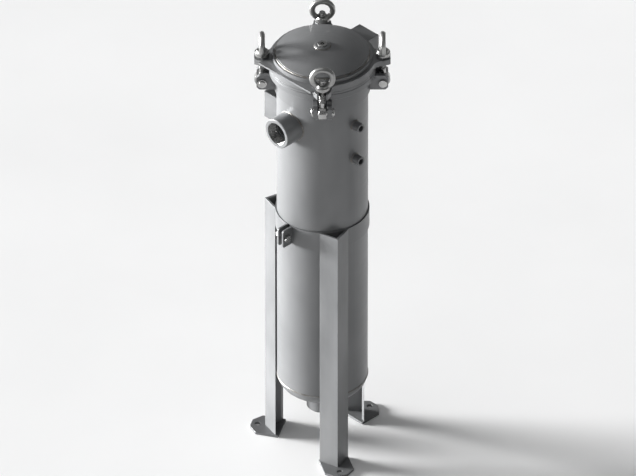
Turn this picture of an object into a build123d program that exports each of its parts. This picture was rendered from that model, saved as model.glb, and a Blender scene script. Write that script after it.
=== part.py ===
from build123d import *
import os
from math import cos, radians, sin, sqrt

# Side-entry bag filter housing, size 2, on an adjustable three-legged stand.
# Millimetres. The vessel axis is Z, the floor is Z = 0, the inlet points along -Y (front),
# the gauge ports along +X (right) and the lid hinge stands at +Y (rear).

# ---- vessel -------------------------------------------------------------------------
SHELL_R = 109.55
SHELL_WALL = 3.0
SEAM_Z = 193.5
COURSE_Z = 655.5
HEAD_DEPTH = 56.0
SHELL_TOP = 1085.0
WELD_GAP = 0.05
COLLAR_R = 115.2
COLLAR_LOW = 1031.0
FLANGE_R = 127.0
FLANGE_LOW = 1075.0
FLANGE_TOP = 1091.0
FLANGE_BORE_R = 104.0
SEAT_LOW = 900.0
SEAT_TOP = 908.0
SEAT_BORE_R = 88.0

# ---- pipe connections ---------------------------------------------------------------
SOCKET_R = 38.0
THREAD_R = 29.0
THREAD_DEPTH = 30.0
SOCKET_BORE_R = 26.0
INLET_Z = 966.0
INLET_REACH = 154.6
INLET_INNER = 98.0
OUTLET_LOW = 94.5
OUTLET_TOP = 146.0
PORT_R = 12.0
PORT_BORE_R = 7.5
PORT_REACH = 131.0
PORT_INNER = 104.0
PORT_HEIGHTS = {"gauge_port_upper": 970.0, "gauge_port_lower": 874.0}

# ---- lid ----------------------------------------------------------------------------
EAR_LOW = 1102.0
GROOVE_IN = 110.5
GROOVE_OUT = 117.0
GROOVE_DEPTH = 3.0
LID_LOW = 1092.0
LID_TOP = 1116.5
LID_BORE_R = 104.0
EAR_HALF = 21.0
EAR_SHOULDER = 147.0
EAR_TIP = 162.5
EAR_TIP_HALF = 13.0
EAR_FILLET = 25.0
SLOT_HALF = 9.0
RIM_R = 119.0
RIM_TOP = 1127.0
DOME_R = 111.5
DOME_EDGE_Z = 1132.0
DOME_TOP = 1147.0
DOME_WALL = 4.0
BOSS_R = 18.5
BOSS_LOW = 1138.0
BOSS_TOP = 1150.0
BOSS_BORE_R = 6.6
LIP_HALF = 88.0
LIP_REACH = 127.6
LIP_THICK = 4.0

# ---- swing-bolt closure, M16 --------------------------------------------------------
BOLT_ANGLES = {"front_right": -45.0, "rear_right": 45.0, "rear_left": 135.0, "front_left": 225.0}
BOLT_CIRCLE_R = 144.0
PIVOT_Z = 1053.0
PIN_R = 8.0
PIN_FIT = 0.05
LUG_INNER = 12.3
LUG_OUTER = 22.4
LUG_REACH = 157.0
LUG_LOW = 1035.0
LUG_CORNER = 7.0
EYE_R = 18.0
EYE_HALF = 9.5
BOLT_R = 8.0
BOLT_TOP = 1145.0
THREAD_START = 1083.0
PITCH = 2.0
THREAD_ROOT_R = 6.9
PAD_THICK = 2.7
PAD_R = 17.5
WASHER_R = 15.0
WASHER_BORE_R = 8.6
WASHER_LOW = 1119.5
WASHER_THICK = 2.0
NUT_LOW = 1121.8
NUT_BASE_R = 17.5
NUT_BASE_HEIGHT = 8.0
NUT_BORE_R = 8.35
RING_TUBE_R = 7.0
RING_R = 24.5
RING_CENTRE = 29.5

# ---- lid hinge ----------------------------------------------------------------------
LEAF_HALF = 32.0
LEAF_REACH = 158.0
LEAF_PLATE = 7.0
CHEEK_R = 15.0
HINGE_Y = 143.0
HINGE_Z = 1072.0
HINGE_PIN_R = 6.0
HINGE_LUG_X = 25.0
HINGE_LUG_PLATE = 7.0
HINGE_LUG_LOW = 1045.0
HINGE_LUG_R = 13.5

# ---- stand --------------------------------------------------------------------------
LEG_ANGLES = {"leg_front_right": -30.0, "leg_rear": 90.0, "leg_front_left": 210.0}
LEG_SIDE = 50.0
LEG_WALL = 5.0
LEG_CORNER_R = 143.0
LEG_TOP = 678.0
FOOT_THICK = 6.0
FOOT_HALF = 36.0
FOOT_INNER = 101.0
FOOT_SHOULDER = 158.0
FOOT_TIP = 178.0
FOOT_TIP_HALF = 13.5
ANCHOR_R = 162.0
ANCHOR_HOLE_R = 7.0
BAND_R = 113.1
BAND_LOW = 631.0
BAND_TOP = 680.0
BAND_EAR_OUT = 9.6
BAND_EAR_IN = 5.6
BAND_EAR_REACH = 143.0
BAND_BOLT_Y = -130.0
BAND_BOLT_Z = 655.5
BAND_BOLT_R = 5.0

# ---- nameplate ----------------------------------------------------------------------
PLATE_X = -147.7
PLATE_HALF = 50.0
PLATE_SHEET = 3.0
PLATE_LOW = 895.0
PLATE_HIGH = 967.0

# ---- basket and bag -----------------------------------------------------------------
BASKET_R = 84.0
BASKET_WALL = 2.0
BASKET_LOW = 208.0
BASKET_RIM_R = 98.0
BASKET_RIM_TOP = 914.0
BAG_R = 81.0
BAG_WALL = 1.6
BAG_LOW = 213.0
BAG_RING_R = 92.0
BAG_RING_TOP = 921.0
BAIL_R = 95.0
BAIL_WIRE_R = 2.5
BAIL_Z = 928.0


def save(solid, label):
    """Label one finished piece and write it as its own STEP file."""
    solid.label = label
    export_step(solid, f"parts/{label}.step")


def turned(solid, angle):
    """A copy of a piece made at azimuth zero, turned about the vessel axis."""
    return solid.rotate(Axis.Z, angle)


def group(solids):
    """Identical fasteners kept together as separate solids of one node."""
    return Compound(children=list(solids))


def shell():
    """Upper course of the vessel, with the holes for the inlet and the gauge ports."""
    with BuildPart() as body:
        with BuildSketch(Plane.XY.offset(COURSE_Z + WELD_GAP)):
            Circle(SHELL_R)
            Circle(SHELL_R - SHELL_WALL, mode=Mode.SUBTRACT)
        extrude(amount=SHELL_TOP - COURSE_Z - WELD_GAP)
        with BuildSketch(Plane.XZ):
            with Locations((0, INLET_Z)):
                Circle(SOCKET_R + WELD_GAP)
        extrude(amount=INLET_REACH, mode=Mode.SUBTRACT)
        with BuildSketch(Plane.YZ):
            for height in PORT_HEIGHTS.values():
                with Locations((0, height)):
                    Circle(PORT_R + WELD_GAP)
        extrude(amount=PORT_REACH, mode=Mode.SUBTRACT)
    return body.part


def bottom_head():
    inner_r = SHELL_R - SHELL_WALL
    inner_depth = HEAD_DEPTH - SHELL_WALL
    with BuildPart() as body:
        with BuildSketch(Plane.XZ):
            with Locations((0, SEAM_Z)):
                Ellipse(SHELL_R, HEAD_DEPTH)
                Ellipse(inner_r, inner_depth, mode=Mode.SUBTRACT)
            with Locations((SHELL_R, SEAM_Z - HEAD_DEPTH / 2)):
                Rectangle(2 * SHELL_R, HEAD_DEPTH, mode=Mode.INTERSECT)
        revolve(axis=Axis.Z)
        with BuildSketch(Plane.XY):
            Circle(SOCKET_R + WELD_GAP)
        extrude(amount=SEAM_Z, mode=Mode.SUBTRACT)
    return body.part


def ring(inner_r, outer_r, low, top):
    with BuildPart() as body:
        with BuildSketch(Plane.XY.offset(low)):
            Circle(outer_r)
            Circle(inner_r, mode=Mode.SUBTRACT)
        extrude(amount=top - low)
    return body.part


def body_flange():
    with BuildPart() as body:
        with BuildSketch(Plane.XY.offset(FLANGE_LOW)):
            Circle(FLANGE_R)
            Circle(FLANGE_BORE_R, mode=Mode.SUBTRACT)
        extrude(amount=FLANGE_TOP - FLANGE_LOW)
        with BuildSketch(Plane.XY.offset(FLANGE_LOW)):
            Circle(SHELL_R + WELD_GAP)
        extrude(amount=SHELL_TOP + WELD_GAP - FLANGE_LOW, mode=Mode.SUBTRACT)
        with BuildSketch(Plane.XY.offset(FLANGE_TOP)):
            Circle(GROOVE_OUT)
            Circle(GROOVE_IN, mode=Mode.SUBTRACT)
        extrude(amount=-GROOVE_DEPTH, mode=Mode.SUBTRACT)
        outer = body.edges().filter_by(GeomType.CIRCLE).group_by(SortBy.RADIUS)[-1]
        chamfer(outer, 1.0)
    return body.part


def threaded_socket(plane, length):
    """Round socket whose mouth lies on the plane; the bore runs back along -normal."""
    with BuildPart() as body:
        with BuildSketch(plane):
            Circle(SOCKET_R)
        extrude(amount=-length)
        with BuildSketch(plane):
            Circle(THREAD_R)
        extrude(amount=-THREAD_DEPTH, mode=Mode.SUBTRACT)
        with BuildSketch(plane):
            Circle(SOCKET_BORE_R)
        extrude(amount=-length, mode=Mode.SUBTRACT)
        chamfer(body.edges().filter_by(GeomType.CIRCLE).group_by(SortBy.RADIUS)[-1], 1.5)
    return body.part


def gauge_port(height):
    with BuildPart() as body:
        with BuildSketch(Plane.YZ.offset(PORT_INNER)):
            with Locations((0, height)):
                Circle(PORT_R)
                Circle(PORT_BORE_R, mode=Mode.SUBTRACT)
        extrude(amount=PORT_REACH - PORT_INNER)
        mouth = body.edges().filter_by(GeomType.CIRCLE).group_by(Axis.X)[-1]
        chamfer(mouth, 0.8)
    return body.part


def lid_plan():
    """Plan of the lid: a round plate with four pointed ears on filleted roots."""
    root_distance = sqrt(FLANGE_R**2 - EAR_HALF**2)
    with BuildSketch() as plan:
        Circle(FLANGE_R)
        for angle in BOLT_ANGLES.values():
            with BuildLine(Plane.XY.rotated((0, 0, angle))):
                Polyline(
                    (0, -EAR_HALF),
                    (EAR_SHOULDER, -EAR_HALF),
                    (EAR_TIP, -EAR_TIP_HALF),
                    (EAR_TIP, EAR_TIP_HALF),
                    (EAR_SHOULDER, EAR_HALF),
                    (0, EAR_HALF),
                    close=True,
                )
            make_face()
        root_r = sqrt(root_distance**2 + EAR_HALF**2)
        roots = [v for v in plan.vertices() if abs(v.center().length - root_r) < 0.01]
        fillet(roots, EAR_FILLET)
    return plan.sketch


def lid_plate(plan):
    """Thick round ring with a relief line near its foot; the ears are only as thick as its top."""
    with BuildPart() as body:
        with BuildSketch(Plane.XY.offset(EAR_LOW)):
            add(plan)
        extrude(amount=LID_TOP - EAR_LOW)
        with BuildSketch(Plane.XY.offset(LID_LOW)):
            Circle(FLANGE_R)
        extrude(amount=EAR_LOW - LID_LOW)
        with BuildSketch(Plane.XY.offset(LID_LOW)):
            Circle(LID_BORE_R)
        extrude(amount=LID_TOP - LID_LOW, mode=Mode.SUBTRACT)
        with BuildSketch(Plane.XY.offset(LID_LOW + 5.6)):
            Circle(FLANGE_R + 1.0)
            Circle(FLANGE_R - 1.0, mode=Mode.SUBTRACT)
        extrude(amount=0.8, mode=Mode.SUBTRACT)
        for angle in BOLT_ANGLES.values():
            with BuildSketch(Plane.XY.rotated((0, 0, angle)).offset(LID_LOW)):
                with Locations((BOLT_CIRCLE_R - 0.5, 0)):
                    Circle(SLOT_HALF)
                with Locations((BOLT_CIRCLE_R - 0.5 + EAR_TIP / 2, 0)):
                    Rectangle(EAR_TIP, 2 * SLOT_HALF)
            extrude(amount=LID_TOP - LID_LOW, mode=Mode.SUBTRACT)
    return body.part


def lid_lift_lip(plan):
    """Flat bar that closes the arc between the two front ears with a straight grip edge."""
    with BuildPart() as body:
        with BuildSketch(Plane.XY.offset(LID_TOP - LIP_THICK)):
            with Locations((0, -(LIP_REACH + 90.0) / 2)):
                Rectangle(2 * LIP_HALF, LIP_REACH - 90.0)
            add(plan, mode=Mode.SUBTRACT)
        extrude(amount=LIP_THICK)
    return body.part


def lid_dome():
    rise = DOME_TOP - DOME_EDGE_Z
    outer = (DOME_R**2 + rise**2) / (2 * rise)
    centre_z = DOME_TOP - outer
    inner = outer - DOME_WALL
    inner_r = DOME_R - DOME_WALL
    inner_edge_z = centre_z + sqrt(inner**2 - inner_r**2)
    outer_mid = (DOME_R / 2, centre_z + sqrt(outer**2 - (DOME_R / 2) ** 2))
    inner_mid = (inner_r / 2, centre_z + sqrt(inner**2 - (inner_r / 2) ** 2))
    with BuildPart() as body:
        with BuildSketch(Plane.XZ):
            with BuildLine():
                ThreePointArc((0, DOME_TOP), outer_mid, (DOME_R, DOME_EDGE_Z))
                Line((DOME_R, DOME_EDGE_Z), (DOME_R, RIM_TOP))
                Line((DOME_R, RIM_TOP), (inner_r, RIM_TOP))
                Line((inner_r, RIM_TOP), (inner_r, inner_edge_z))
                ThreePointArc((inner_r, inner_edge_z), inner_mid, (0, centre_z + inner))
                Line((0, centre_z + inner), (0, DOME_TOP))
            make_face()
        revolve(axis=Axis.Z)
        with BuildSketch(Plane.XY.offset(BOSS_LOW)):
            Circle(BOSS_R + WELD_GAP)
        extrude(amount=DOME_TOP - BOSS_LOW, mode=Mode.SUBTRACT)
    return body.part


def vent_boss():
    with BuildPart() as body:
        with BuildSketch(Plane.XY.offset(BOSS_LOW)):
            Circle(BOSS_R)
            Circle(BOSS_BORE_R, mode=Mode.SUBTRACT)
        extrude(amount=BOSS_TOP - BOSS_LOW)
        rim = body.edges().filter_by(GeomType.CIRCLE).group_by(Axis.Z)[-1].sort_by(SortBy.RADIUS)[-1]
        chamfer(rim, 1.0)
    return body.part


def vent_plug():
    """Screw plug with a round flange and a hexagon socket."""
    with BuildPart() as body:
        with BuildSketch(Plane.XY.offset(BOSS_LOW + 2.0)):
            Circle(BOSS_BORE_R - 0.1)
        extrude(amount=BOSS_TOP - BOSS_LOW - 2.0)
        with BuildSketch(Plane.XY.offset(BOSS_TOP)):
            Circle(11.5)
        extrude(amount=3.5)
        chamfer(body.edges().filter_by(GeomType.CIRCLE).group_by(Axis.Z)[-1], 0.7)
        with BuildSketch(Plane.XY.offset(BOSS_TOP + 3.5)):
            RegularPolygon(5.2, 6)
        extrude(amount=-8.0, mode=Mode.SUBTRACT)
    return body.part


def nut_seat():
    """Half-round pad under the inner side of a nut; the outer side of the ear stays lower."""
    with BuildPart() as body:
        with BuildSketch(Plane.XY.offset(LID_TOP)):
            with Locations((BOLT_CIRCLE_R, 0)):
                Circle(PAD_R)
            with Locations((BOLT_CIRCLE_R - 0.5, 0)):
                Circle(SLOT_HALF, mode=Mode.SUBTRACT)
            with Locations((BOLT_CIRCLE_R - 0.5 + PAD_R, 0)):
                Rectangle(2 * PAD_R, 4 * PAD_R, mode=Mode.SUBTRACT)
        extrude(amount=PAD_THICK)
    return body.part


def pivot_lugs():
    with BuildPart() as body:
        for side in (LUG_INNER, -LUG_OUTER):
            with BuildSketch(Plane.XZ.offset(-side)):
                with BuildLine():
                    Polyline(
                        (COLLAR_R - 15.0, LUG_LOW),
                        (LUG_REACH - LUG_CORNER, LUG_LOW),
                        (LUG_REACH, LUG_LOW + LUG_CORNER),
                        (LUG_REACH, FLANGE_LOW - LUG_CORNER),
                        (LUG_REACH - LUG_CORNER, FLANGE_LOW),
                        (COLLAR_R - 15.0, FLANGE_LOW),
                        close=True,
                    )
                make_face()
                with Locations((BOLT_CIRCLE_R, PIVOT_Z)):
                    Circle(PIN_R + PIN_FIT, mode=Mode.SUBTRACT)
            extrude(amount=-(LUG_OUTER - LUG_INNER))
        with BuildSketch(Plane.XY.offset(LUG_LOW)):
            Circle(COLLAR_R + WELD_GAP)
        extrude(amount=FLANGE_LOW - LUG_LOW, mode=Mode.SUBTRACT)
    return body.part


def pivot_pin():
    with BuildPart() as body:
        with BuildSketch(Plane.XZ.offset(-(LUG_OUTER + 7.0))):
            with Locations((BOLT_CIRCLE_R, PIVOT_Z)):
                Circle(PIN_R)
        extrude(amount=2 * LUG_OUTER + 8.0)
        with BuildSketch(Plane.XZ.offset(LUG_OUTER + 0.2)):
            with Locations((BOLT_CIRCLE_R, PIVOT_Z)):
                Circle(PIN_R + 2.5)
        extrude(amount=4.0)
        ends = body.edges().filter_by(GeomType.CIRCLE).group_by(Axis.Y)
        chamfer(ends[0], 0.8)
        chamfer(ends[-1], 0.8)
    return body.part


def pin_clip():
    """Snap ring on the plain end of a pivot pin."""
    with BuildPart() as body:
        with BuildSketch(Plane.XZ.offset(-(LUG_OUTER + 4.0))):
            with Locations((BOLT_CIRCLE_R, PIVOT_Z)):
                Circle(PIN_R + 3.5)
                Circle(PIN_R + WELD_GAP, mode=Mode.SUBTRACT)
        extrude(amount=1.8)
    return body.part


def swing_bolt():
    pitches = int((BOLT_TOP - 1.5 - THREAD_START) / PITCH)
    with BuildPart() as body:
        with BuildSketch(Plane.XZ.offset(-EYE_HALF)):
            with Locations((BOLT_CIRCLE_R, PIVOT_Z)):
                Circle(EYE_R)
        extrude(amount=2 * EYE_HALF)
        chamfer(body.edges().filter_by(GeomType.CIRCLE), 1.2)
        with BuildSketch(Plane.XZ):
            with BuildLine():
                outline = [(BOLT_CIRCLE_R, PIVOT_Z), (BOLT_CIRCLE_R + BOLT_R - 0.6, PIVOT_Z)]
                outline.append((BOLT_CIRCLE_R + BOLT_R - 0.6, THREAD_START))
                for turn in range(pitches):
                    height = THREAD_START + turn * PITCH
                    outline.append((BOLT_CIRCLE_R + BOLT_R, height + 0.35 * PITCH))
                    outline.append((BOLT_CIRCLE_R + BOLT_R, height + 0.5 * PITCH))
                    outline.append((BOLT_CIRCLE_R + THREAD_ROOT_R, height + 0.9 * PITCH))
                outline.append((BOLT_CIRCLE_R + THREAD_ROOT_R, BOLT_TOP))
                outline.append((BOLT_CIRCLE_R, BOLT_TOP))
                Polyline(outline, close=True)
            make_face()
        revolve(axis=Axis((BOLT_CIRCLE_R, 0, 0), (0, 0, 1)))
        with BuildSketch(Plane.XZ.offset(-EYE_HALF - 1.0)):
            with Locations((BOLT_CIRCLE_R, PIVOT_Z)):
                Circle(PIN_R + PIN_FIT)
        extrude(amount=2 * EYE_HALF + 2.0, mode=Mode.SUBTRACT)
    return body.part


def washer():
    with BuildPart() as body:
        with BuildSketch(Plane.XY.offset(WASHER_LOW)):
            with Locations((BOLT_CIRCLE_R, 0)):
                Circle(WASHER_R)
                Circle(WASHER_BORE_R, mode=Mode.SUBTRACT)
        extrude(amount=WASHER_THICK)
    return body.part


def eye_nut():
    """Lifting eye nut: round base with a ring on top; the ring lies across the radius."""
    hub = (BOLT_CIRCLE_R, 0, NUT_LOW)
    ring_plane = Plane(origin=(BOLT_CIRCLE_R, 0, NUT_LOW + RING_CENTRE), x_dir=(0, 1, 0), z_dir=(0, 0, 1))
    with BuildPart() as body:
        with BuildSketch(ring_plane):
            with Locations((RING_R, 0)):
                Circle(RING_TUBE_R)
        revolve(axis=Axis((BOLT_CIRCLE_R, 0, NUT_LOW + RING_CENTRE), (1, 0, 0)))
        with BuildSketch(Plane(origin=hub)):
            Circle(NUT_BASE_R)
        extrude(amount=NUT_BASE_HEIGHT)
        with BuildSketch(Plane(origin=(BOLT_CIRCLE_R, 0, NUT_LOW + NUT_BASE_HEIGHT))):
            Circle(NUT_BASE_R - 2.5)
        extrude(amount=5.0, taper=25.0)
        with BuildSketch(Plane(origin=(BOLT_CIRCLE_R, 0, NUT_LOW - 5.0))):
            Circle(2 * NUT_BASE_R)
        extrude(amount=5.0, mode=Mode.SUBTRACT)
        with BuildSketch(Plane(origin=hub)):
            Circle(NUT_BORE_R)
        extrude(amount=RING_CENTRE, mode=Mode.SUBTRACT)
    return body.part


def lid_hinge_leaf():
    """Channel welded to the rear of the lid: a top plate and two cheeks around the pin."""
    with BuildPart() as body:
        with BuildSketch(Plane.XY.offset(LID_TOP - LEAF_PLATE)):
            with Locations((0, (LEAF_REACH + 110.0) / 2)):
                Rectangle(2 * LEAF_HALF, LEAF_REACH - 110.0)
            Circle(FLANGE_R + WELD_GAP, mode=Mode.SUBTRACT)
        extrude(amount=LEAF_PLATE)
        cheek_height = LID_TOP - LEAF_PLATE / 2 - HINGE_Z
        for low_x in (-LEAF_HALF, LEAF_HALF - LEAF_PLATE + 1.0):
            with BuildSketch(Plane.YZ.offset(low_x)):
                with Locations((HINGE_Y, HINGE_Z)):
                    Circle(CHEEK_R)
                with Locations((HINGE_Y, HINGE_Z + cheek_height / 2)):
                    Rectangle(2 * CHEEK_R, cheek_height)
                with Locations((HINGE_Y, HINGE_Z)):
                    Circle(HINGE_PIN_R + PIN_FIT, mode=Mode.SUBTRACT)
            extrude(amount=LEAF_PLATE - 1.0)
    return body.part


def body_hinge_lugs():
    with BuildPart() as body:
        for side in (HINGE_LUG_X - HINGE_LUG_PLATE, -HINGE_LUG_X):
            with BuildSketch(Plane.YZ.offset(side)):
                with BuildLine():
                    Polyline(
                        (COLLAR_R - 8.0, HINGE_LUG_LOW),
                        (COLLAR_R + 8.0, HINGE_LUG_LOW),
                        (HINGE_Y, HINGE_Z - HINGE_LUG_R),
                        (HINGE_Y, FLANGE_LOW - WELD_GAP),
                        (COLLAR_R - 8.0, FLANGE_LOW - WELD_GAP),
                        close=True,
                    )
                make_face()
                with Locations((HINGE_Y, HINGE_Z)):
                    Circle(HINGE_LUG_R)
                    Circle(HINGE_PIN_R + PIN_FIT, mode=Mode.SUBTRACT)
            extrude(amount=HINGE_LUG_PLATE)
        with BuildSketch(Plane.XY.offset(HINGE_LUG_LOW)):
            Circle(COLLAR_R + WELD_GAP)
        extrude(amount=FLANGE_LOW - HINGE_LUG_LOW, mode=Mode.SUBTRACT)
    return body.part


def hinge_pin():
    with BuildPart() as body:
        with BuildSketch(Plane.YZ.offset(-LEAF_HALF - 5.0)):
            with Locations((HINGE_Y, HINGE_Z)):
                Circle(HINGE_PIN_R)
        extrude(amount=2 * LEAF_HALF + 5.0)
        with BuildSketch(Plane.YZ.offset(LEAF_HALF + 0.2)):
            with Locations((HINGE_Y, HINGE_Z)):
                Circle(HINGE_PIN_R + 3.0)
        extrude(amount=4.0)
        with BuildSketch(Plane.YZ.offset(LEAF_HALF)):
            with Locations((HINGE_Y, HINGE_Z)):
                Circle(HINGE_PIN_R)
        extrude(amount=1.0)
        ends = body.edges().filter_by(GeomType.CIRCLE).group_by(Axis.X)
        chamfer(ends[0], 0.8)
        chamfer(ends[-1], 0.8)
    return body.part


def leg():
    """Equal angle whose outer corner points away from the vessel, coped to the band."""
    corner = Plane(origin=(LEG_CORNER_R, 0, FOOT_THICK), x_dir=(cos(radians(225)), sin(radians(225)), 0))
    with BuildPart() as body:
        with BuildSketch(corner):
            with Locations((LEG_SIDE / 2, -LEG_SIDE / 2)):
                Rectangle(LEG_SIDE, LEG_SIDE)
            inside = (LEG_SIDE + LEG_WALL) / 2
            with Locations((inside, -inside)):
                Rectangle(LEG_SIDE - LEG_WALL, LEG_SIDE - LEG_WALL, mode=Mode.SUBTRACT)
        extrude(amount=LEG_TOP - FOOT_THICK)
        with BuildSketch(Plane.XY.offset(FOOT_THICK)):
            Circle(BAND_R + WELD_GAP)
        extrude(amount=LEG_TOP - FOOT_THICK, mode=Mode.SUBTRACT)
    return body.part


def foot_plate():
    with BuildPart() as body:
        with BuildSketch(Plane.XY):
            with BuildLine():
                Polyline(
                    (FOOT_INNER, -FOOT_HALF),
                    (FOOT_SHOULDER, -FOOT_HALF),
                    (FOOT_TIP, -FOOT_TIP_HALF),
                    (FOOT_TIP, FOOT_TIP_HALF),
                    (FOOT_SHOULDER, FOOT_HALF),
                    (FOOT_INNER, FOOT_HALF),
                    close=True,
                )
            make_face()
            with Locations((ANCHOR_R, 0)):
                Circle(ANCHOR_HOLE_R, mode=Mode.SUBTRACT)
        extrude(amount=FOOT_THICK)
    return body.part


def clamp_band():
    ear_length = BAND_EAR_REACH - SHELL_R - WELD_GAP
    ear_x = (BAND_EAR_OUT + BAND_EAR_IN) / 2
    ear_y = -(BAND_EAR_REACH - ear_length / 2)
    with BuildPart() as body:
        with BuildSketch(Plane.XY.offset(BAND_LOW)):
            Circle(BAND_R)
            Circle(SHELL_R + WELD_GAP, mode=Mode.SUBTRACT)
            with Locations((0, -BAND_R)):
                Rectangle(2 * BAND_EAR_IN, 20.0, mode=Mode.SUBTRACT)
            for side in (-1, 1):
                with Locations((side * ear_x, ear_y)):
                    Rectangle(BAND_EAR_OUT - BAND_EAR_IN, ear_length - 0.6)
        extrude(amount=BAND_TOP - BAND_LOW)
        with BuildSketch(Plane.YZ.offset(-BAND_EAR_OUT)):
            with Locations((BAND_BOLT_Y, BAND_BOLT_Z)):
                Circle(BAND_BOLT_R + 0.5)
        extrude(amount=2 * BAND_EAR_OUT, mode=Mode.SUBTRACT)
        tips = body.edges().filter_by(Axis.X).group_by(Axis.Y)[0]
        fillet(tips, 6.0)
    return body.part


def clamp_bolt():
    with BuildPart() as body:
        with BuildSketch(Plane.YZ.offset(-BAND_EAR_OUT - 14.0)):
            with Locations((BAND_BOLT_Y, BAND_BOLT_Z)):
                Circle(BAND_BOLT_R)
        extrude(amount=2 * BAND_EAR_OUT + 14.0)
        with BuildSketch(Plane.YZ.offset(BAND_EAR_OUT)):
            with Locations((BAND_BOLT_Y, BAND_BOLT_Z)):
                RegularPolygon(8.5, 6, major_radius=False)
        extrude(amount=6.4)
    return body.part


def clamp_nut():
    with BuildPart() as body:
        with BuildSketch(Plane.YZ.offset(-BAND_EAR_OUT - 8.4)):
            with Locations((BAND_BOLT_Y, BAND_BOLT_Z)):
                RegularPolygon(8.5, 6, major_radius=False)
                Circle(BAND_BOLT_R + WELD_GAP, mode=Mode.SUBTRACT)
        extrude(amount=8.4)
    return body.part


def nameplate_bracket():
    """Open channel bent from sheet, standing off the left side of the shell."""
    with BuildPart() as body:
        with BuildSketch(Plane.XY.offset(PLATE_LOW)):
            with Locations((PLATE_X / 2, 0)):
                Rectangle(-PLATE_X, 2 * PLATE_HALF)
            Circle(SHELL_R + WELD_GAP, mode=Mode.SUBTRACT)
            with Locations(((PLATE_X + PLATE_SHEET) / 2, 0)):
                Rectangle(-PLATE_X - PLATE_SHEET, 2 * (PLATE_HALF - PLATE_SHEET), mode=Mode.SUBTRACT)
        extrude(amount=PLATE_HIGH - PLATE_LOW)
        bends = body.edges().filter_by(Axis.Z).group_by(Axis.X)[0]
        fillet(bends, 2.5)
    return body.part


def nameplate():
    with BuildPart() as body:
        with BuildSketch(Plane.YZ.offset(PLATE_X - 1.0)):
            with Locations((0, (PLATE_LOW + PLATE_HIGH) / 2)):
                RectangleRounded(88.0, 58.0, 4.0)
        extrude(amount=1.0)
    return body.part


def nameplate_rivet(across, height):
    with BuildPart() as body:
        with BuildSketch(Plane.YZ.offset(PLATE_X - 2.5)):
            with Locations((across, height)):
                Circle(2.6)
        extrude(amount=1.5)
        chamfer(body.edges().filter_by(GeomType.CIRCLE).group_by(Axis.X)[0], 0.7)
    return body.part


def basket():
    """Slotted support basket: a thin sleeve with a drilled floor."""
    slot_pitch = 78.0
    slot_rows = 8
    with BuildPart() as body:
        with BuildSketch(Plane.XY.offset(BASKET_LOW)):
            Circle(BASKET_R)
        extrude(amount=SEAT_TOP - BASKET_LOW)
        with BuildSketch(Plane.XY.offset(BASKET_LOW + BASKET_WALL)):
            Circle(BASKET_R - BASKET_WALL)
        extrude(amount=SEAT_TOP - BASKET_LOW, mode=Mode.SUBTRACT)
        for turn in range(12):
            with BuildSketch(Plane.XZ.rotated((0, 0, 15.0 * turn)).offset(-BASKET_R - 2.0)):
                for row in range(slot_rows):
                    with Locations((0, BASKET_LOW + 60.0 + row * slot_pitch)):
                        SlotCenterToCenter(42.0, 9.0, rotation=90)
            extrude(amount=2 * BASKET_R + 4.0, mode=Mode.SUBTRACT)
        with BuildSketch(Plane.XY.offset(BASKET_LOW)):
            for radius, count in ((26.0, 8), (52.0, 16)):
                with PolarLocations(radius, count):
                    Circle(5.0)
        extrude(amount=BASKET_WALL, mode=Mode.SUBTRACT)
    return body.part


def basket_rim():
    """Flat rim that hangs on the seat ring, with two tabs for the bail handle."""
    with BuildPart() as body:
        with BuildSketch(Plane.XY.offset(SEAT_TOP)):
            Circle(BASKET_RIM_R)
            Circle(BASKET_R - BASKET_WALL, mode=Mode.SUBTRACT)
        extrude(amount=BASKET_RIM_TOP - SEAT_TOP)
        for low_x in (BAIL_R - 0.6, -BAIL_R - 2.4):
            with BuildSketch(Plane.YZ.offset(low_x)):
                with Locations((0, (BASKET_RIM_TOP + BAIL_Z + 5.0) / 2)):
                    Rectangle(12.0, BAIL_Z + 5.0 - BASKET_RIM_TOP)
                with Locations((0, BAIL_Z)):
                    Circle(BAIL_WIRE_R + PIN_FIT, mode=Mode.SUBTRACT)
            extrude(amount=3.0)
    return body.part


def basket_handle():
    """Bent wire bail, folded flat on its rear side; both ends pass through the rim tabs."""
    reach = BAIL_R - 6.0
    with BuildPart() as body:
        with BuildLine() as wire:
            Line((-BAIL_R - 5.0, 0, BAIL_Z), (-reach, 0, BAIL_Z))
            ThreePointArc((-reach, 0, BAIL_Z), (0, reach, BAIL_Z), (reach, 0, BAIL_Z))
            Line((reach, 0, BAIL_Z), (BAIL_R + 5.0, 0, BAIL_Z))
        with BuildSketch(Plane(origin=(-BAIL_R - 5.0, 0, BAIL_Z), z_dir=(1, 0, 0))):
            Circle(BAIL_WIRE_R)
        sweep(path=wire.wires()[0], transition=Transition.ROUND)
    return body.part


def filter_bag():
    """Felt sleeve with a rounded closed end, hanging in the basket."""
    corner = 24.0
    with BuildPart() as body:
        with BuildSketch(Plane.XY.offset(BAG_LOW)):
            Circle(BAG_R)
        extrude(amount=BASKET_RIM_TOP - BAG_LOW)
        fillet(body.edges().group_by(Axis.Z)[0], corner)
        inner_low = BAG_LOW + BAG_WALL
        with BuildPart(mode=Mode.PRIVATE) as hollow:
            with BuildSketch(Plane.XY.offset(inner_low)):
                Circle(BAG_R - BAG_WALL)
            extrude(amount=BASKET_RIM_TOP + 5.0 - inner_low)
            fillet(hollow.edges().group_by(Axis.Z)[0], corner - BAG_WALL)
        add(hollow.part, mode=Mode.SUBTRACT)
    return body.part


os.makedirs("parts", exist_ok=True)

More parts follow.
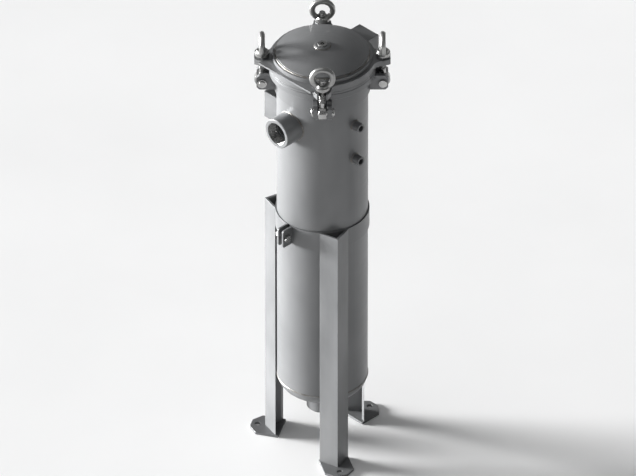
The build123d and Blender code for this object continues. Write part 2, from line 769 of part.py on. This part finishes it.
save(shell(), "shell")
save(ring(SHELL_R - SHELL_WALL, SHELL_R, SEAM_Z, COURSE_Z), "shell_lower")
save(bottom_head(), "bottom_head")
save(ring(SHELL_R + WELD_GAP, COLLAR_R, COLLAR_LOW, FLANGE_LOW), "neck_collar")
save(body_flange(), "body_flange")
save(ring(SEAT_BORE_R, SHELL_R - SHELL_WALL - WELD_GAP, SEAT_LOW, SEAT_TOP), "basket_seat")
save(
    threaded_socket(Plane(origin=(0, -INLET_REACH, INLET_Z), z_dir=(0, -1, 0)), INLET_REACH - INLET_INNER),
    "inlet_socket",
)
save(
    threaded_socket(Plane(origin=(0, 0, OUTLET_LOW), z_dir=(0, 0, -1)), OUTLET_TOP - OUTLET_LOW),
    "outlet_socket",
)
for label, height in PORT_HEIGHTS.items():
    save(gauge_port(height), label)

lid_shape = lid_plan()
save(lid_plate(lid_shape), "lid_plate")
save(lid_lift_lip(lid_shape), "lid_lift_lip")
save(ring(GROOVE_IN + 0.5, GROOVE_OUT - 0.5, FLANGE_TOP - GROOVE_DEPTH, LID_LOW - 0.2), "lid_gasket")
save(ring(LID_BORE_R, RIM_R, LID_TOP, RIM_TOP), "lid_rim")
save(lid_dome(), "lid_dome")
save(vent_boss(), "vent_boss")
save(vent_plug(), "vent_plug")
save(lid_hinge_leaf(), "lid_hinge_leaf")
save(body_hinge_lugs(), "body_hinge_lugs")
save(hinge_pin(), "hinge_pin")

lugs = pivot_lugs()
pin = pivot_pin()
clip = pin_clip()
seat = nut_seat()
bolt = swing_bolt()
flat_washer = washer()
nut = eye_nut()
for place, angle in BOLT_ANGLES.items():
    save(turned(lugs, angle), f"pivot_lugs_{place}")
    save(turned(pin, angle), f"pivot_pin_{place}")
    save(turned(bolt, angle), f"swing_bolt_{place}")
    save(turned(flat_washer, angle), f"washer_{place}")
    save(turned(nut, angle), f"eye_nut_{place}")
save(group(turned(clip, angle) for angle in BOLT_ANGLES.values()), "pin_clips")
save(group(turned(seat, angle) for angle in BOLT_ANGLES.values()), "nut_seats")

save(clamp_band(), "clamp_band")
save(clamp_bolt(), "clamp_bolt")
save(clamp_nut(), "clamp_nut")
angle_leg = leg()
foot = foot_plate()
for label, angle in LEG_ANGLES.items():
    save(turned(angle_leg, angle), label)
    save(turned(foot, angle), label.replace("leg", "foot_plate"))

save(nameplate_bracket(), "nameplate_bracket")
save(nameplate(), "nameplate")
save(
    group(
        nameplate_rivet(across, (PLATE_LOW + PLATE_HIGH) / 2 + lift)
        for across in (-39.0, 39.0)
        for lift in (-24.0, 24.0)
    ),
    "nameplate_rivets",
)

save(basket(), "basket")
save(basket_rim(), "basket_rim")
save(basket_handle(), "basket_handle")
save(filter_bag(), "filter_bag")
save(ring(BAG_R - BAG_WALL, BAG_RING_R, BASKET_RIM_TOP, BAG_RING_TOP), "bag_ring")
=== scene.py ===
"""Bag filter housing: materials, weld seams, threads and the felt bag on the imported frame."""

from math import cos, pi, radians, sin, sqrt

import bmesh
import bpy
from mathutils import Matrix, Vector, noise


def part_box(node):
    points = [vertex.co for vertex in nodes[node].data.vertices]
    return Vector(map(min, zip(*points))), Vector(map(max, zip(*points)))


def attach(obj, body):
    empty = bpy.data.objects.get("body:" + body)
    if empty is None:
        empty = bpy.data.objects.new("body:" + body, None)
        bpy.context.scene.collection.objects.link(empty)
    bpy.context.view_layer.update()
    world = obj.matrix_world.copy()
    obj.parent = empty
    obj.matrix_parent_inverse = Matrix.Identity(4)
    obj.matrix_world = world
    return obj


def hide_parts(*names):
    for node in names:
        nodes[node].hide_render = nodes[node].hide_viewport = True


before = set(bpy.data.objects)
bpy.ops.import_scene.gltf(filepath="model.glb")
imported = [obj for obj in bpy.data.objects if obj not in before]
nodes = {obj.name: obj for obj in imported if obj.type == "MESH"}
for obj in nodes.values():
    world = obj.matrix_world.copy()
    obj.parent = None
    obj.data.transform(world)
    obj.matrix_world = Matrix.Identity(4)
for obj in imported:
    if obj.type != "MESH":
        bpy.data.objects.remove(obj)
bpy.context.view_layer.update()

# Metres, in the row frame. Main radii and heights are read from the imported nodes.
SHELL_LOW, SHELL_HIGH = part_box("shell_lower")
SHELL_R = SHELL_HIGH[0]
INLET_LOW, INLET_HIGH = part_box("inlet_socket")
SOCKET_R = INLET_HIGH[0]
INLET_Z = (INLET_LOW[2] + INLET_HIGH[2]) / 2
OUTLET_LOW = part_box("outlet_socket")[0][2]
THREAD_R = 0.029
THREAD_DEPTH = 0.028
THREAD_PITCH = 0.0022
BEAD_R = 0.0022
CAMERA_DISTANCE = 42.4
CAMERA_LENS = 1000.0


# ---- materials ----------------------------------------------------------------------
def new_material(name):
    material = bpy.data.materials.new(name)
    material.use_nodes = True
    tree = material.node_tree
    return material, tree, tree.nodes["Principled BSDF"]


def stretched_noise(tree, scale, detail):
    """Noise in the row frame, stretched by a different scale along each axis."""
    place = tree.nodes.new("ShaderNodeTexCoord")
    mapping = tree.nodes.new("ShaderNodeMapping")
    mapping.inputs["Scale"].default_value = scale
    texture = tree.nodes.new("ShaderNodeTexNoise")
    texture.inputs["Scale"].default_value = 1.0
    texture.inputs["Detail"].default_value = detail
    tree.links.new(place.outputs["Object"], mapping.inputs["Vector"])
    tree.links.new(mapping.outputs["Vector"], texture.inputs["Vector"])
    return texture.outputs["Fac"]


def remap(tree, value, low, high):
    node = tree.nodes.new("ShaderNodeMapRange")
    node.inputs["From Min"].default_value = 0.3
    node.inputs["From Max"].default_value = 0.7
    node.inputs["To Min"].default_value = low
    node.inputs["To Max"].default_value = high
    tree.links.new(value, node.inputs["Value"])
    return node.outputs["Result"]


def two_tone(tree, value, dark, light):
    ramp = tree.nodes.new("ShaderNodeValToRGB")
    ramp.color_ramp.elements[0].position = 0.3
    ramp.color_ramp.elements[1].position = 0.7
    ramp.color_ramp.elements[0].color = (*dark, 1.0)
    ramp.color_ramp.elements[1].color = (*light, 1.0)
    tree.links.new(value, ramp.inputs["Fac"])
    return ramp.outputs["Color"]


def surface(name, dark, light, grain, patches, rough, metallic, bump, edge=0.0):
    """A surface with fine directional grain, broad patches of tone and softened edges."""
    material, tree, shader = new_material(name)
    fine = stretched_noise(tree, grain, 5.0)
    broad = stretched_noise(tree, patches, 3.0)
    shader.inputs["Metallic"].default_value = metallic
    tree.links.new(two_tone(tree, broad, dark, light), shader.inputs["Base Color"])
    tree.links.new(remap(tree, fine, rough[0], rough[1]), shader.inputs["Roughness"])
    relief = tree.nodes.new("ShaderNodeBump")
    relief.inputs["Strength"].default_value = bump
    relief.inputs["Distance"].default_value = 0.0004
    tree.links.new(fine, relief.inputs["Height"])
    if edge:
        soft = tree.nodes.new("ShaderNodeBevel")
        soft.samples = 4
        soft.inputs["Radius"].default_value = edge
        tree.links.new(soft.outputs["Normal"], relief.inputs["Normal"])
    tree.links.new(relief.outputs["Normal"], shader.inputs["Normal"])
    return material


STEEL_DARK = (0.13, 0.133, 0.136)
STEEL_LIGHT = (0.18, 0.183, 0.186)
STEEL_METALLIC = 0.30
turned = surface("steel_turned", STEEL_DARK, STEEL_LIGHT, (9, 9, 1400), (7, 7, 4), (0.30, 0.46), STEEL_METALLIC, 0.10, 0.0006)
drawn = surface("steel_drawn", STEEL_DARK, STEEL_LIGHT, (1300, 1300, 10), (14, 14, 5), (0.32, 0.50), STEEL_METALLIC, 0.12, 0.0010)
plate = surface("steel_plate", STEEL_DARK, STEEL_LIGHT, (60, 1300, 300), (16, 16, 16), (0.28, 0.45), STEEL_METALLIC, 0.12, 0.0009)
cast = surface("steel_cast", (0.26, 0.26, 0.26), (0.40, 0.40, 0.39), (420, 420, 420), (30, 30, 30), (0.26, 0.44), 1.0, 0.30, 0.0008)
bright = surface("steel_machined", (0.34, 0.34, 0.34), (0.48, 0.48, 0.47), (90, 90, 1500), (40, 40, 40), (0.18, 0.32), 1.0, 0.12, 0.0005)
weld = surface("weld_seam", (0.13, 0.12, 0.105), (0.24, 0.235, 0.23), (700, 700, 700), (60, 60, 60), (0.30, 0.55), 1.0, 0.40)
blank = surface("blank_plate", (0.66, 0.67, 0.68), (0.76, 0.77, 0.78), (60, 14, 1500), (20, 20, 20), (0.24, 0.36), 1.0, 0.08, 0.0004)
rubber = surface("seal_rubber", (0.02, 0.02, 0.02), (0.05, 0.05, 0.05), (500, 500, 500), (40, 40, 40), (0.55, 0.75), 0.0, 0.20)
moulded = surface("moulded_ring", (0.78, 0.78, 0.75), (0.86, 0.86, 0.83), (300, 300, 300), (30, 30, 30), (0.38, 0.55), 0.0, 0.10)
felt = surface("needled_felt", (0.78, 0.76, 0.70), (0.90, 0.89, 0.84), (1500, 1500, 1500), (45, 45, 45), (0.85, 1.0), 0.0, 0.9)

FINISHES = (
    (("shell", "bottom_head", "neck_collar", "body_flange", "lid_rim", "basket", "basket_rim", "basket_seat"), turned),
    (("inlet_socket", "gauge_port", "vent_boss", "lid_dome", "clamp_band"), turned),
    (("outlet_socket", "leg"), drawn),
    (("lid_plate", "lid_lift_lip", "lid_hinge_leaf", "body_hinge_lugs", "pivot_lugs", "foot_plate"), plate),
    (("nameplate_bracket", "nut_seats"), plate),
    (("eye_nut",), cast),
    (("swing_bolt", "washer", "pivot_pin", "pin_clips", "hinge_pin", "clamp_bolt", "clamp_nut"), bright),
    (("vent_plug", "nameplate_rivets", "basket_handle"), bright),
    (("lid_gasket",), rubber),
    (("bag_ring",), moulded),
)


def finish_of(node):
    if node == "nameplate":
        return blank
    for prefixes, material in FINISHES:
        if node.startswith(prefixes):
            return material
    return felt


for node, thing in nodes.items():
    thing.data.materials.clear()
    thing.data.materials.append(finish_of(node))


# ---- pieces -------------------------------------------------------------------------
def mesh_object(name, verts, faces, material, body):
    mesh = bpy.data.meshes.new(name)
    mesh.from_pydata(verts, [], faces)
    mesh.validate()
    mesh.shade_smooth()
    piece = bpy.data.objects.new(name, mesh)
    bpy.context.scene.collection.objects.link(piece)
    piece.data.materials.append(material)
    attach(piece, body)
    return piece


def swept(points, ups, radius, sides, closed):
    """Tube along points; ups holds a direction across the path at each point."""
    verts = []
    count = len(points)
    for i, point in enumerate(points):
        ahead = points[(i + 1) % count] if closed or i + 1 < count else point
        behind = points[i - 1] if closed or i else point
        along = (ahead - behind).normalized()
        up = (ups[i] - along * ups[i].dot(along)).normalized()
        side = along.cross(up)
        r = radius(i) if callable(radius) else radius
        for k in range(sides):
            turn = 2 * pi * k / sides
            verts.append(point + up * (r * cos(turn)) + side * (r * sin(turn)))
    faces = []
    for i in range(count if closed else count - 1):
        near, far = i * sides, (i + 1) % count * sides
        for k in range(sides):
            step = (k + 1) % sides
            faces.append((near + k, near + step, far + step, far + k))
    return verts, faces


def weld_bead(name, points, ups):
    """Closed seam with the scalloped ripples that each laid drop leaves."""
    def ripple(i):
        wander = noise.noise(points[i] * 90.0)
        return BEAD_R * (1.0 + 0.13 * abs(sin(i * pi / 4)) + 0.10 * wander)

    verts, faces = swept(points, ups, ripple, 8, True)
    return mesh_object(name, verts, faces, weld, "housing")


def round_weld(name, radius, height):
    steps = int(2 * pi * radius / 0.0011) // 4 * 4
    turns = [2 * pi * i / steps for i in range(steps)]
    points = [Vector((radius * cos(t), radius * sin(t), height)) for t in turns]
    weld_bead(name, points, [Vector((cos(t), sin(t), 0)) for t in turns])


def saddle_weld(name, pipe_r, height, towards):
    """Seam where a round socket leaves the shell; towards is its plan direction."""
    steps = int(2 * pi * pipe_r / 0.0011) // 4 * 4
    out = Vector((*towards, 0.0))
    across = Vector((-towards[1], towards[0], 0.0))
    points, ups = [], []
    for i in range(steps):
        t = 2 * pi * i / steps
        wide = pipe_r * cos(t)
        points.append(out * sqrt(SHELL_R**2 - wide**2) + across * wide + Vector((0, 0, height + pipe_r * sin(t))))
        ups.append(out + across * cos(t) + Vector((0, 0, sin(t))))
    weld_bead(name, points, ups)


def inner_thread(name, mouth, inward):
    """Screw ridge inside a socket, from its mouth inwards."""
    axis = Vector(inward)
    first = Vector((0, 0, 1)) if abs(axis.z) < 0.5 else Vector((1, 0, 0))
    second = axis.cross(first)
    per_turn = 64
    turns = int(THREAD_DEPTH / THREAD_PITCH) - 1
    points, ups = [], []
    for i in range(turns * per_turn + 1):
        t = 2 * pi * i / per_turn
        radial = first * cos(t) + second * sin(t)
        run = THREAD_PITCH * (i / per_turn + 0.8)
        points.append(Vector(mouth) + radial * THREAD_R + axis * run)
        ups.append(radial)
    verts, faces = swept(points, ups, 0.0009, 4, False)
    mesh_object(name, verts, faces, bright, "housing")


round_weld("weld_collar", SHELL_R + 0.001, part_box("neck_collar")[0][2])
round_weld("weld_head", SHELL_R - 0.001, SHELL_LOW[2])
round_weld("weld_flange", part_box("neck_collar")[1][0] + 0.0005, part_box("body_flange")[0][2] - 0.001)
round_weld("weld_dome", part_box("lid_dome")[1][0] + 0.0005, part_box("lid_rim")[1][2])
round_weld("weld_vent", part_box("vent_boss")[1][0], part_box("lid_dome")[1][2] - 0.0005)
round_weld("weld_outlet", SOCKET_R, SHELL_LOW[2] - 0.0525)
saddle_weld("weld_inlet", SOCKET_R, INLET_Z, (0.0, -1.0))
for place in ("upper", "lower"):
    low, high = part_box(f"gauge_port_{place}")
    saddle_weld(f"weld_gauge_{place}", high[1], (low[2] + high[2]) / 2, (1.0, 0.0))
inner_thread("inlet_thread", (0, INLET_LOW[1], INLET_Z), (0, 1, 0))
inner_thread("outlet_thread", (0, 0, OUTLET_LOW), (0, 0, 1))


# ---- felt bag -----------------------------------------------------------------------
def felt_bag():
    """Cut tube of felt with soft upright folds and a round closed end."""
    low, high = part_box("filter_bag")
    wall_r = high[0] - 0.0010
    corner = 0.024
    around, rows, bend, cap = 144, 60, 8, 6
    profile = [(wall_r, high[2] - (high[2] - low[2] - corner) * i / rows) for i in range(rows + 1)]
    for i in range(1, bend + 1):
        t = 0.5 * pi * i / bend
        profile.append((wall_r - corner * (1 - cos(t)), low[2] + corner * (1 - sin(t))))
    rim = wall_r - corner
    profile += [(rim * (1 - i / cap), low[2]) for i in range(1, cap)]
    verts = []
    for radius, height in profile:
        for k in range(around):
            t = 2 * pi * k / around
            fold = noise.noise(Vector((3.5 * cos(t), 3.5 * sin(t), height * 2.0)))
            r = radius + 0.0007 * fold * radius / wall_r
            verts.append((r * cos(t), r * sin(t), height))
    faces = []
    for i in range(len(profile) - 1):
        for k in range(around):
            step = (k + 1) % around
            faces.append((i * around + k, i * around + step, (i + 1) * around + step, (i + 1) * around + k))
    verts.append((0.0, 0.0, low[2]))
    last = (len(profile) - 1) * around
    faces += [(last + k, last + (k + 1) % around, len(verts) - 1) for k in range(around)]
    bag = mesh_object("felt_bag", verts, faces, felt, "housing")
    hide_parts("filter_bag")
    side = bmesh.new()
    side.from_mesh(bag.data)
    area = sum(face.calc_area() for face in side.faces)
    side.free()
    thickness = bag.modifiers.new("felt_thickness", "SOLIDIFY")
    thickness.thickness = 0.0014
    thickness.offset = 0.0


felt_bag()

# ---- floor, light and camera --------------------------------------------------------
bpy.ops.mesh.primitive_plane_add(size=120.0, location=(0, 0, -0.0004))
floor = bpy.context.object
floor.name = "floor_plane"
floor.data.materials.append(
    surface("floor_paint", (0.83, 0.83, 0.83), (0.86, 0.86, 0.86), (60, 60, 60), (2, 2, 2), (0.75, 0.9), 0.0, 0.02)
)


def distant_light(name, towards, strength, spread):
    """Even light over the whole floor; towards points from the object to the light."""
    data = bpy.data.lights.new(name, "SUN")
    data.energy = strength
    data.angle = radians(spread)
    lamp = bpy.data.objects.new(name, data)
    lamp.rotation_euler = Vector(towards).to_track_quat("Z", "Y").to_euler()
    bpy.context.scene.collection.objects.link(lamp)


distant_light("key_left", (-0.84, -0.54, 0.07), 25.0, 24.0)
distant_light("top_soft", (-0.25, -0.35, 0.9), 0.55, 60.0)

world = bpy.data.worlds.new("studio")
world.use_nodes = True
sky = world.node_tree.nodes["Background"]
sky.inputs["Color"].default_value = (0.93, 0.94, 0.95, 1.0)
sky.inputs["Strength"].default_value = 0.22
bpy.context.scene.world = world
bpy.context.scene.view_settings.view_transform = "Standard"

lens = bpy.data.cameras.new("camera")
lens.lens = CAMERA_LENS
lens.sensor_width = 36.0
lens.clip_end = 200.0
camera = bpy.data.objects.new("camera", lens)
bpy.context.scene.collection.objects.link(camera)
aim = Vector((-0.00738, -0.00738, 0.5856))
camera.location = aim + Vector((1, -1, 1)).normalized() * CAMERA_DISTANCE
camera.rotation_euler = (aim - camera.location).to_track_quat("-Z", "Y").to_euler()
bpy.context.scene.camera = camera
